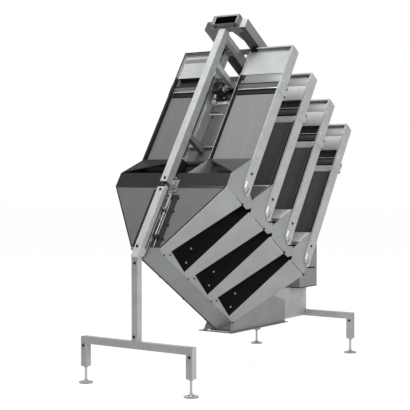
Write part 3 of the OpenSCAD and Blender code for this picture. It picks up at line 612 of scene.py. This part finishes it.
class SORTER_OT_deck_finishes(bpy.types.Operator):
    """Give the trays, rails, belts, rollers and gearmotors their finishes"""
    bl_idname = "sorter.deck_finishes"
    bl_label = "Deck finishes"

    def execute(self, context):
        for deck in DECKS:
            dress(f"tray_{deck}", "tray", [
                # the top faces of the middle walls: painted highlight
                ("edge", lambda m, v: v.z > 0.9 and m.z > -1 and abs(m.x) < LANE_IN + 1),
                # the tray's head wall: a grey of painted shade on the first deck, a near white of
                # painted highlight behind
                ("edge" if deck > 1 else "band", lambda m, v: v.y < -0.7 and m.y > 1200),
                # the feed plates: a lighter copy on decks 2 to 4, painted light
                ("feed_plate" if deck == 1 else "plate_back",
                 lambda m, v: v.z > 0.7 and m.y > PLATE_END - 1 and -36 < m.z < -32),
                ("panel", lambda m, v: v.z > 0.7 and abs(m.x) < LANE_IN
                 and -45 < m.z < -34 and m.y < 640),
                # the tray floor in the recess by the feed roller: painted shade
                ("well" if deck == 1 else "well_back", lambda m, v: abs(m.x) > LANE_IN and m.z < -37
                 and (v.z > 0.7 or abs(v.y) > 0.7)),
            ], deck)
            # The left rail's top face gets the black of rubber: painted shade
            dress(f"side_rails_{deck}", "rail", [
                ("rubber", lambda m, v: v.z > 0.9 and m.x < -WALL_OUT and m.z > -1),
            ], deck=deck)
            dress(f"belts_{deck}", "belt_front" if deck == 1 else "belt", [
                ("belt_left", lambda m, v: deck == 1 and m.x < 0)], deck)
            for kind in ("head", "tail", "feed"):
                dress(f"{kind}_roller_{deck}", "roller")
            dress(f"gearmotor_{deck}", "enamel")
        return {"FINISHED"}


class SORTER_OT_hopper_finishes(bpy.types.Operator):
    """Give the hoppers, the trough and the boot their finishes"""
    bl_idname = "sorter.hopper_finishes"
    bl_label = "Hopper finishes"

    def execute(self, context):
        for deck in DECKS:
            # The lip strip is painted shade: a dark grey on deck 1 and, like the fronts in the gaps
            # on decks 2 to 4, near black
            front = "front" if deck == 1 else "painted_shade_black"
            lip = "lip" if deck == 1 else "painted_shade_black"
            outer = ("side", lambda m, v: abs(v.x) > 0.55 and v.x * m.x > 0 and abs(m.x) > 150)
            # The first hopper's inside and every cone's inside get that dark grey: painted shade
            dress(f"hopper_{deck}", "inside" if deck == 1 else "side", [
                (lip, lambda m, v: v.z > 0.9 and m.z > HOPPER_FACE - 0.5),
                # painted light on the first mouth's right wall
                ("mouth_wall_painted_light", lambda m, v: deck == 1 and v.x > 0.9 and 130 < m.x < 160),
                outer,
                ("guide_left", lambda m, v: deck == 1 and m.x < -40),
                ("guide", lambda m, v: deck == 1 and v.z > 0.4 and v.y > 0.4
                 and abs(v.x) < 0.4),
            ], deck)
            dress(f"hopper_cone_{deck}", "inside", [
                (front, lambda m, v: v.z > 0.9 and m.z > HOPPER_FACE - 0.5), outer,
                ("side", lambda m, v: v.z < -0.3 and m.y < KNEE),
            ], deck)
        dress("collector", "trough", [
            ("side", lambda m, v: abs(v.x) > 0.9),
            # the underside: painted shade in the dark sealer grey
            ("seam", lambda m, v: v.y < -0.9 and m.y < OUTLET - 90)])
        dress("outlet_boot", "boot")
        return {"FINISHED"}


class SORTER_OT_head_finishes(bpy.types.Operator):
    """Give the feed head, the control panel and the gate their finishes"""
    bl_idname = "sorter.head_finishes"
    bl_label = "Head finishes"

    def execute(self, context):
        dress("feed_head", "head", [
            # the spouts' faces get black: painted shade of the holes under them
            ("rubber", lambda m, v: m.y < 1249.5 and abs(m.x) > 100),
            # the front face: painted light; the underside and inner back faces: painted shade
            ("head_face", lambda m, v: v.z > 0.9 and m.z > 270),
            ("head_low_painted_shade", lambda m, v: v.y < -0.7 or (v.z < -0.3 and m.z > 60))])
        dress("control_panel", "bezel", [
            # the underside and the right end: painted shade
            ("bezel_painted_shade", lambda m, v: v.y < -0.9 or v.z < -0.9 or v.x > 0.9),
            ("band", lambda m, v: v.z > 0.9 and m.z > 333)])
        dress("gate_cylinder", "cylinder", [("enamel", lambda m, v: m.z < 208)])
        dress("gate_rod", "plate", [("enamel", lambda m, v: m.y < -903)])
        dress("gate_shutter", "lip")
        return {"FINISHED"}


class SORTER_OT_belt_skirts(bpy.types.Operator):
    """Make the rubber skirts beside the belts, the wipers under their ends and black strips on the
    walls and the left rails' tops, which also paint the shade along the lanes
    """
    bl_idname = "sorter.belt_skirts"
    bl_label = "Belt skirts"

    def execute(self, context):
        thick = context.scene.sorter_sizes.skirt / MM
        for deck in DECKS:
            boxes = [((LANE_IN + 0.2, 16, -37.4), (LANE_IN + thick, PLATE_END - 12, -1)),
                     ((LANE_IN + 0.4, -1, -50), (LANE_OUT - 0.4, 12, -30))]
            lean = 4 if deck == 1 else 17
            # Black strips on the lane walls and the left rails' tops: painted shade
            cap = [((-LANE_IN - 13, 16, 0), (-LANE_IN + 3.4, PLATE_END - 12, 1.6)),
                   ((-LANE_IN - thick, PLATE_END - 12, 0), (-LANE_IN + 3.4, TRAY_TOP - 2, 1.6)),
                   ((-LANE_OUT + 0.2, 2, -34), (-LANE_OUT + 5, PLATE_END - 12, 1)),
                   ((LANE_IN - 3.4, PLATE_END - 4, 0), (LANE_IN + 3, TRAY_TOP - 4, 1.4)),
                   ((-RAIL_OUT + 0.5, -10, 0), (-LANE_OUT - 0.5, TRAY_TOP - 1, 1.6)),
                   ((LANE_OUT - lean, 3, -7), (LANE_OUT - 0.2, 690, -3))]
            strips(f"belt_skirts_{deck}", "rubber", mirrored(boxes) + cap,
                   deck_frame(deck), 0.8)
        return {"FINISHED"}


class SORTER_OT_feed_fittings(bpy.types.Operator):
    """Make the strips and covers between the feed plates and the belts: black strips of painted
    shade, light strips of painted highlight, near-white covers of painted light and grey bands of
    painted shade and reflection
    """
    bl_idname = "sorter.feed_fittings"
    bl_label = "Feed fittings"

    def execute(self, context):
        a, b = LANE_IN + 0.6, LANE_OUT - 0.6
        roller_front, roller_back = FEED_AXIS[0] - 34, FEED_AXIS[0] + 33
        for deck in DECKS:
            place = deck_frame(deck)
            # Black strips in the gaps beside the feed roller and above the belt: painted shade
            dark = [((a, roller_back - 1, -48), (b, roller_back + 5, -36)),
                    ((a, BELT_TOP + 6, -66), (b, roller_front - 2, -46))]
            # Light strips across the lane beside the roller: painted highlight in place of the
            # roller's shine
            bright = [((a, roller_front - 2, -38), (b, roller_front + 4, -29))]
            if deck > 1:
                dark[1] = ((a, roller_front - 12, -52), (b, roller_front - 3, -40))
                bright = [((a, roller_back - 2, -24), (b, roller_back + 3, -20))]
                # Near-white covers over the head rollers: painted light
                strips(f"head_roller_cover_{deck}", "collar", mirrored(
                    [((a, 696, -35.6), (b, roller_front - 14, -33))]), place)
                # Grey bands across the top of each lower deck's feed plates: painted shade
                strips(f"feed_wear_strips_{deck}", "band", mirrored(
                    [((a, TRAY_TOP - 122, -34), (b, TRAY_TOP - 3.5, -32.8))]), place, 0.3)
            strips(f"feed_seals_{deck}", "rubber", mirrored(dark), place)
            strips(f"feed_scrapers_{deck}", "edge", mirrored(bright), place)
            # A strip along the top of the left lane's head wall: black painted shade on the first
            # deck, near-white painted highlight behind
            strips(f"tray_top_edges_{deck}", "rubber" if deck == 1 else "edge",
                   [((-WALL_OUT + 1, TRAY_TOP - 13, 0), (-LANE_IN, TRAY_TOP - 0.5, 1.4))],
                   place, 0.3)
        # A grey cover over the right lane's recess on the first deck, lighter than the black recess
        # of the left lane: part cover, part painted reflection
        strips("feed_cover_right", "band",
               [((a, roller_back + 5, -41), (b, PLATE_END - 1, -37.5))], SLOPE, 0.8)
        # A dark strip on that cover beside the inner wall: painted shade
        strips("feed_bracket_right", "seam",
               [((a, PLATE_END - 62, -37.5), (a + 34, PLATE_END - 1, -36))], SLOPE, 0.5)
        # A grey band across the first deck's left feed plate: painted reflection
        strips("feed_wear_strip_left", "band",
               [((-LANE_OUT + 4, TRAY_TOP - 107, -34), (-LANE_IN - 1, TRAY_TOP - 62, -32.8))],
               SLOPE, 0.3)
        return {"FINISHED"}


class SORTER_OT_middle_fittings(bpy.types.Operator):
    """Make the covers, the light edge strips of painted highlight and the flap of the panel between
    the lanes
    """
    bl_idname = "sorter.middle_fittings"
    bl_label = "Middle fittings"

    def execute(self, context):
        small = context.scene.sorter_sizes.small_bolt
        for deck in DECKS:
            place = deck_frame(deck)
            # Light strips along the panel's edges and folds: painted highlight
            strips(f"middle_edges_{deck}", "edge", [
                ((-136.6, 2, -37.8), (-133.4, 618, -34.5)),
                ((-48, 623, -40), (94, 655, -36)),
                ((-66, 506, -37.8), (78, 513, -36.2))], place, 0.4)
            strips(f"middle_cover_{deck}", "cover", [
                ((-34, 150, -37.8), (133, 498, COVER_TOP)), ((-34, 4, -37.8), (133, 82, COVER_TOP)),
                ((-61, 541, -46), (29, 606, -43))], place, 0.4)
            strips(f"middle_joint_{deck}", "seam", [
                ((-41, 140, -37.9), (-36, 560, -37.2)), ((-41, 4, -37.9), (-36, 82, -37.2)),
                ((-134, 4, -37.9), (-130, 500, -37.3))], place, 0.2)
            mesh = bmesh.new()
            for x in (-22, 121):
                for s in (168, 480):
                    add_bolt(mesh, spot(x, s, COVER_TOP, deck), OUTWARD, small, 0.008)
            for x in (-36, 82):
                add_bolt(mesh, spot(x, 639, -36, deck), OUTWARD, small, 0.008)
            finish_piece(f"middle_bolts_{deck}", mesh, "bolt")
        return {"FINISHED"}


class SORTER_OT_motor_fittings(bpy.types.Operator):
    """Make the fins, the fan cover's rings, the gland and the bolts of each motor"""
    bl_idname = "sorter.motor_fittings"
    bl_label = "Motor fittings"

    def execute(self, context):
        sizes = context.scene.sorter_sizes
        for deck in DECKS:
            mesh = bmesh.new()
            for i in range(sizes.fins):
                add_ring(mesh, spot(0, MOTOR_AXIS, 14 + i * 11, deck), OUTWARD, 0.0555, 0.0515,
                         0.0035, 40)
            end = spot(0, MOTOR_AXIS, MOTOR_END, deck)
            for r in (0.036, 0.026, 0.016):
                add_ring(mesh, end, OUTWARD, r, r - 0.004, 0.003, 32)
            add_disc(mesh, end, OUTWARD, 0.008, 0.004, 20, 0.8)
            add_disc(mesh, spot(26, 792, 40, deck), ACROSS, 0.011, 0.014, 6)
            add_disc(mesh, spot(40, 792, 40, deck), ACROSS, 0.008, 0.008, 16, 0.75)
            finish_piece(f"motor_fins_{deck}", mesh, "enamel")
            mesh = bmesh.new()
            for x in (-19, 19):
                for n in (24, 56):
                    add_bolt(mesh, spot(x, 806, n, deck), UPHILL, 0.006, 0.005)
            for x in (-44, 44):
                for s in (676, 766):
                    add_bolt(mesh, spot(x, s, -14, deck), OUTWARD, 0.01, 0.008)
            add_box(mesh, (54, 706, 22), (56.5, 752, 62), deck_frame(deck), 0.6)
            finish_piece(f"motor_bolts_{deck}", mesh, "plate")
        return {"FINISHED"}


class SORTER_OT_rail_fittings(bpy.types.Operator):
    """Make the bolts, the white pads of painted highlight, the flanges and the shaft ends on the
    rails
    """
    bl_idname = "sorter.rail_fittings"
    bl_label = "Rail fittings"

    def execute(self, context):
        sizes = context.scene.sorter_sizes
        for deck in DECKS:
            dark, bright, flange, pads = (bmesh.new() for _ in range(4))
            for side in (-1, 1):
                out = ACROSS * side
                add_bolt(dark, spot(RAIL_OUT * side, -125, -48, deck), out, sizes.bolt_across)
                for s, n in ((737, -121), (817, -117)):
                    at = spot(PLATE_OUT * side, s, n, deck)
                    add_disc(bright, at, out, 0.0125, 0.0022, 20, 1.0, -0.0002)
                    add_bolt(dark, at - out * 0.0028, out, sizes.bolt_across * 0.9, 0.009)
                for s, n in (FEED_AXIS, HEAD_AXIS, TAIL_AXIS):
                    at = spot((PLATE_OUT if s > PLATE_START else RAIL_OUT) * side, s, n, deck)
                    add_disc(flange, at, out, 0.019, 0.002, 32, 1.0, -0.0002)
                    add_disc(flange, at, out, 0.012, 0.0035, 24, 0.86, 0.0015)
                inner, outer = sorted((588.2 * side, 599.9 * side))
                add_plate(flange, ((1229, -84.8), (1229, -117), (-299.5, -117),
                                   (-299.5, -84.8)), inner, outer, deck)
                add_plate(flange, ((-300.2, -117), (-329, -88), (-300.2, -46)),
                          inner, outer, deck)
                # White pads on the rail's side and lower end: painted highlight
                low, high = sorted((RAIL_OUT * side, (RAIL_OUT + 1.5) * side))
                add_plate(pads, ((866, -34), (826, -1), (735, -1), (748, -34)), low, high, deck)
                for s in (300, 560, 900, 1110):
                    add_disc(dark, spot(594 * side, s, 0, deck), OUTWARD, 0.0042, 0.0016, 12, 0.7)
                low, high = sorted((599.8 * side, 601.6 * side))
                add_box(pads, (low, -276, -34), (high, -216, -12), deck_frame(deck), 0.8)
            finish_piece(f"rail_bolts_{deck}", dark, "bolt")
            finish_piece(f"rail_washers_{deck}", bright, "washer")
            finish_piece(f"rail_pads_{deck}", pads, "pad")
            finish_piece(f"rail_flanges_{deck}", flange, "rail")
        return {"FINISHED"}


class SORTER_OT_frame_bolts(bpy.types.Operator):
    """Make the frame's bolts and bracket, black strips of painted shadow by the beam, and the
    hopper's lip and edges in dark and light strips of painted shade and painted highlight
    """
    bl_idname = "sorter.frame_bolts"
    bl_label = "Frame bolts"

    def execute(self, context):
        across = context.scene.sorter_sizes.bolt_across
        dark, ring = bmesh.new(), bmesh.new()
        for x, s in ((6, -389), (6, -506), (-6, -1060)):
            at = spot(x, s, BEAM_FACE)
            add_disc(ring, at, OUTWARD, 0.017, 0.002, 28, 1.0, -0.0002)
            add_bolt(dark, at + OUTWARD * 0.0012, OUTWARD, across)
        places = [Vector((-0.005, -1.395, 0.44)), Vector((0.004, -1.395, 1.051))]
        places += [Vector((0.555 * side, -1.395, 0.322)) for side in (-1, 1)]
        for at in places:
            add_bolt(dark, at, (0, -1, 0), across)
        for side in (-1, 1):
            add_bolt(dark, Vector((0.555 * side, 1.395, 0.322)), (0, 1, 0), across)
            add_bolt(dark, Vector((0.555 * side, 1.335, 0.325)), (0, -1, 0), across)
            for s in (-520, -350):
                add_bolt(dark, spot(43 * side, s, 220), OUTWARD, across * 0.8, 0.010)
        finish_piece("frame_bolts", dark, "bolt")
        finish_piece("frame_washers", ring, "washer")
        strips("splice_bracket", "trough", [
            ((52, -474, 211.6), (104, -452, 214)), ((52, -474, 206.4), (58, -412, 250)),
            ((52, -440, 206.4), (92, -352, 211))], SLOPE, 1.0)
        # Black strips beside the beam paint its shadow; a third lies across the splice
        strips("beam_seals", "rubber", [
            ((-143, -1016, HOPPER_FACE + 0.1), (-112, -448, HOPPER_FACE + 2.5)),
            ((35, -1052, 238), (37.5, -470, 249)),
            ((-36, -476, 298), (36, -454.5, 300.8))], SLOPE, 0.6)
        # A dark strip along the top of the first hopper's front: painted shade
        strips("lip_flange", "lip", [
            ((-566, -431, HOPPER_FACE), (574, -411.5, HOPPER_FACE + 0.8))], SLOPE, 0.2)
        mesh, edge = bmesh.new(), bmesh.new()
        # Black bars along the first hopper's edges: painted shade; the bars down the front's sides
        # each have a light bar beside them: painted highlight
        for side in (-1, 1):
            knee, foot = spot(586 * side, KNEE, 207), spot(149 * side, OUTLET + 1, 207)
            add_bar(mesh, knee, foot, 0.010, 0.002, OUTWARD)
            lift = ACROSS * 0.006 * side - OUTWARD * 0.006
            add_bar(edge, knee + lift, foot + lift, 0.006, 0.002, OUTWARD)
            add_bar(mesh, spot(LANE_IN * side, -2, 0), spot(584 * side, -262, 193), 0.012, 0.003,
                    OUTWARD)
        finish_piece("hopper_edge_seals", mesh, "rubber")
        finish_piece("hopper_edges", edge, "edge")
        return {"FINISHED"}


class SORTER_OT_hopper_fittings(bpy.types.Operator):
    """Make the seams and bolts of the hoppers, white plates of painted reflection in their mouths
    and black plates of painted shade by the gaps
    """
    bl_idname = "sorter.hopper_fittings"
    bl_label = "Hopper fittings"

    def execute(self, context):
        sizes = context.scene.sorter_sizes
        half = sizes.seam_width / MM / 2
        for deck in DECKS:
            place = deck_frame(deck)
            strips(f"hopper_seams_{deck}", "seam", mirrored(
                [((WALL_OUT - 0.4, KNEE + 4 - half, -78),
                  (WALL_OUT + 0.9, KNEE + 4 + half, SEAM_TOPS[deck - 1]))]), place, 0.2)
            dark, light = bmesh.new(), bmesh.new()
            for side in (-1, 1):
                add_bolt(dark, spot((WALL_OUT + 0.2) * side, KNEE + 4, -80, deck), ACROSS * side,
                         sizes.bolt_across, 0.011)
                if deck > 1:
                    for s in (-790, -927):
                        add_bolt(light, spot(133 * side, s, HOPPER_FACE, deck), OUTWARD,
                                 sizes.small_bolt, 0.010)
                for s, n in ((-1040, 124), (-997, 52))[:1 if deck == 4 else 2]:
                    add_bolt(dark, spot(150 * side, s, n, deck), ACROSS * side,
                             sizes.small_bolt * 0.8, 0.007)
            finish_piece(f"hopper_bolts_{deck}", dark, "bolt")
            if deck > 1:
                finish_piece(f"hopper_front_bolts_{deck}", light, "washer")
                # White plates in the mouths of hoppers 2 to 4: painted reflection
                slant = place @ Matrix.Rotation(math.atan2(206, -279) - math.pi, 4, "X")
                strips(f"wear_plate_{deck}", "wear_plate", mirrored(
                    [((395, -REFLECTION_PLATE_DEPTHS[deck - 1], 0.4),
                      (584 if deck > 2 else 560, -22, 2.4))]), slant, 0.6)
                # Black plates and bars on the hoppers' sides by the gaps: painted shade
                shade_plates = bmesh.new()
                for side in (-1, 1):
                    x = 588.6 * side
                    add_bar(shade_plates, spot(x, -318, -112, deck), spot(x, -246, -232, deck),
                            0.012, 0.001, ACROSS)
                    low, high = sorted((588.1 * side, 588.9 * side))
                    add_plate(shade_plates, ((-419, 262), (-363, 191), (-401, 183), (-417, 213)), low,
                              high, deck)
                finish_piece(f"hopper_slots_{deck}", shade_plates, "screen")
        return {"FINISHED"}


class SORTER_OT_gate_fittings(bpy.types.Operator):
    """Make the gate's clips, track and guides with a light edge strip of painted highlight, and a
    white plate of painted light in the mouth
    """
    bl_idname = "sorter.gate_fittings"
    bl_label = "Gate fittings"

    def execute(self, context):
        mesh = bmesh.new()
        for s, depth in ((-676, 0.015), (-500, 0.018)):
            add_ring(mesh, spot(68, s, 223), UPHILL, 0.0155, 0.0065 if s < -600 else 0.0132,
                     depth, 28)
        for s in (-935, -800, -665, -536):
            add_box(mesh, (144, s - 9, HOPPER_FACE + 0.1), (157, s + 9, 213.8), SLOPE, 0.8)
            add_box(mesh, (135, s - 9, 211.6), (157, s + 9, 214), SLOPE, 0.6)
            add_bolt(mesh, spot(150, s, 213.6), OUTWARD, 0.009, 0.007)
        finish_piece("gate_clips", mesh, "enamel")
        # A white plate on the first mouth's floor, lighter than its shade allows: painted light
        strips("mouth_floor_plate", "wear_plate", [
            ((LANE_IN + 2, -404, -83.8), (LANE_OUT, -6, -82.6))], SLOPE, 0.4)
        strips("gate_track", "lip", [
            ((44, -1014, HOPPER_FACE), (143, -500, HOPPER_FACE + 0.25))], SLOPE, 0.0)
        strips("gate_guides", "enamel", [
            ((69, -1012, HOPPER_FACE + 0.3), (78, -560, 210))], SLOPE, 0.6)
        # A light strip beside the gate's guide: painted highlight
        strips("gate_guide_edge", "edge", [
            ((79, -1012, HOPPER_FACE + 0.3), (83, -560, 212))], SLOPE, 0.6)
        return {"FINISHED"}


class SORTER_OT_panel(bpy.types.Operator):
    """Make the panel's screen, rim and glands, the head's shades and the inlet's rim"""
    bl_idname = "sorter.panel"
    bl_label = "Control panel"

    def execute(self, context):
        x0, x1, s0, s1, top = -82, 144, 1260, 1340, 334
        strips("panel_screen", "screen",
               [((x0, s0, top), (x1, s1, top + 1.6))], SLOPE, 0.3)
        strips("panel_rim", "bezel", [
            ((x0 - 28, s1, top), (x1 + 7, 1357, top + 2)),
            ((x0 - 28, s0, top), (x0, s1, top + 2)),
            ((x1, s0, top), (x1 + 7, s1, top + 2))], SLOPE, 0.6)
        strips("head_shades", "head_dark", [
            ((-221, 1251, 275.9), (-122, 1344, 276.7)),
            ((114, 1249.2, -150), (221, 1250.1, 205)),
            ((168, 1249.2, 204), (221, 1250.1, 272))], SLOPE, 0.2)
        strips("inlet_rim", "head", [
            ((-112, 1345, 224.5), (112, 1349, 228)), ((-112, 1345, 270), (112, 1349, 273.5)),
            ((-112, 1345, 228), (-100, 1349, 270)), ((100, 1345, 228), (112, 1349, 270))],
            SLOPE, 0.8)
        mesh = bmesh.new()
        for x in (-84, 124):
            add_disc(mesh, spot(x, 1258, 300), -UPHILL, 0.009, 0.010, 6)
            add_disc(mesh, spot(x, 1248, 300), -UPHILL, 0.0065, 0.006, 16, 0.8)
        finish_piece("panel_glands", mesh, "rubber")
        return {"FINISHED"}


class SORTER_OT_cabinet(bpy.types.Operator):
    """Make the cabinet's door, hinges, latch and seal, and the boot's front plate"""
    bl_idname = "sorter.cabinet"
    bl_label = "Cabinet and boot"

    def execute(self, context):
        strips("cabinet_door", "cabinet", [
            ((-138, 1398, 668), (138, 1404, 1232))], ROOM, 2.0)
        mesh = bmesh.new()
        for z in (760, 1140):
            add_disc(mesh, Vector((-0.142, 1.404, z * MM - 0.03)), UP, 0.007, 0.06, 16)
        add_box(mesh, (112, 1404, 920), (128, 1412, 980), ROOM, 2.0)
        add_disc(mesh, Vector((0.120, 1.411, 0.950)), (0, 1, 0), 0.010, 0.005, 20, 0.8)
        finish_piece("cabinet_hinges", mesh, "enamel")
        strips("boot_front_plate", "trough", [
            ((-84, -173, 351), (147, -170, 426)), ((146, -187, 351), (149.4, -140, 428))],
            ROOM, 0.6)
        strips("cabinet_seal", "rubber", [
            ((-151, 1049, 646), (151, 1053, 654)), ((147, 1049, 646), (151.4, 1398, 654)),
            ((-151.4, 1049, 646), (-147, 1398, 654))], ROOM, 0.6)
        return {"FINISHED"}


class SORTER_PT_panel(bpy.types.Panel):
    """Sidebar panel of the grain sorter"""
    bl_label = "Grain Sorter"
    bl_idname = "SORTER_PT_panel"
    bl_space_type = "VIEW_3D"
    bl_region_type = "UI"
    bl_category = "Grain Sorter"

    def draw(self, context):
        column = self.layout.column()
        for kind in OPERATORS:
            column.operator(kind.bl_idname)
        for name, _ in GROUPS:
            group = getattr(context.scene, name)
            for prop in group.__annotations__:
                column.prop(group, prop)


GROUPS = (
    ("sorter_colours", SorterColours),
    ("sorter_sizes", SorterSizes),
    ("sorter_stage", SorterStage),
)
OPERATORS = (
    SORTER_OT_frame_finishes,
    SORTER_OT_deck_finishes,
    SORTER_OT_hopper_finishes,
    SORTER_OT_head_finishes,
    SORTER_OT_belt_skirts,
    SORTER_OT_feed_fittings,
    SORTER_OT_middle_fittings,
    SORTER_OT_motor_fittings,
    SORTER_OT_rail_fittings,
    SORTER_OT_frame_bolts,
    SORTER_OT_hopper_fittings,
    SORTER_OT_gate_fittings,
    SORTER_OT_panel,
    SORTER_OT_cabinet,
    SORTER_OT_stage,
)


def register():
    """Add the classes and the scene's settings."""
    for name, group in GROUPS:
        bpy.utils.register_class(group)
        setattr(bpy.types.Scene, name, bpy.props.PointerProperty(type=group))
    for kind in (*OPERATORS, SORTER_PT_panel):
        bpy.utils.register_class(kind)


def unregister():
    """Take them out again."""
    for kind in reversed((*OPERATORS, SORTER_PT_panel)):
        bpy.utils.unregister_class(kind)
    for name, group in reversed(GROUPS):
        delattr(bpy.types.Scene, name)
        bpy.utils.unregister_class(group)


def main():
    """Register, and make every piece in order."""
    register()
    for kind in OPERATORS:
        group, name = kind.bl_idname.split(".")
        getattr(getattr(bpy.ops, group), name)()


if __name__ == "__main__":
    main()
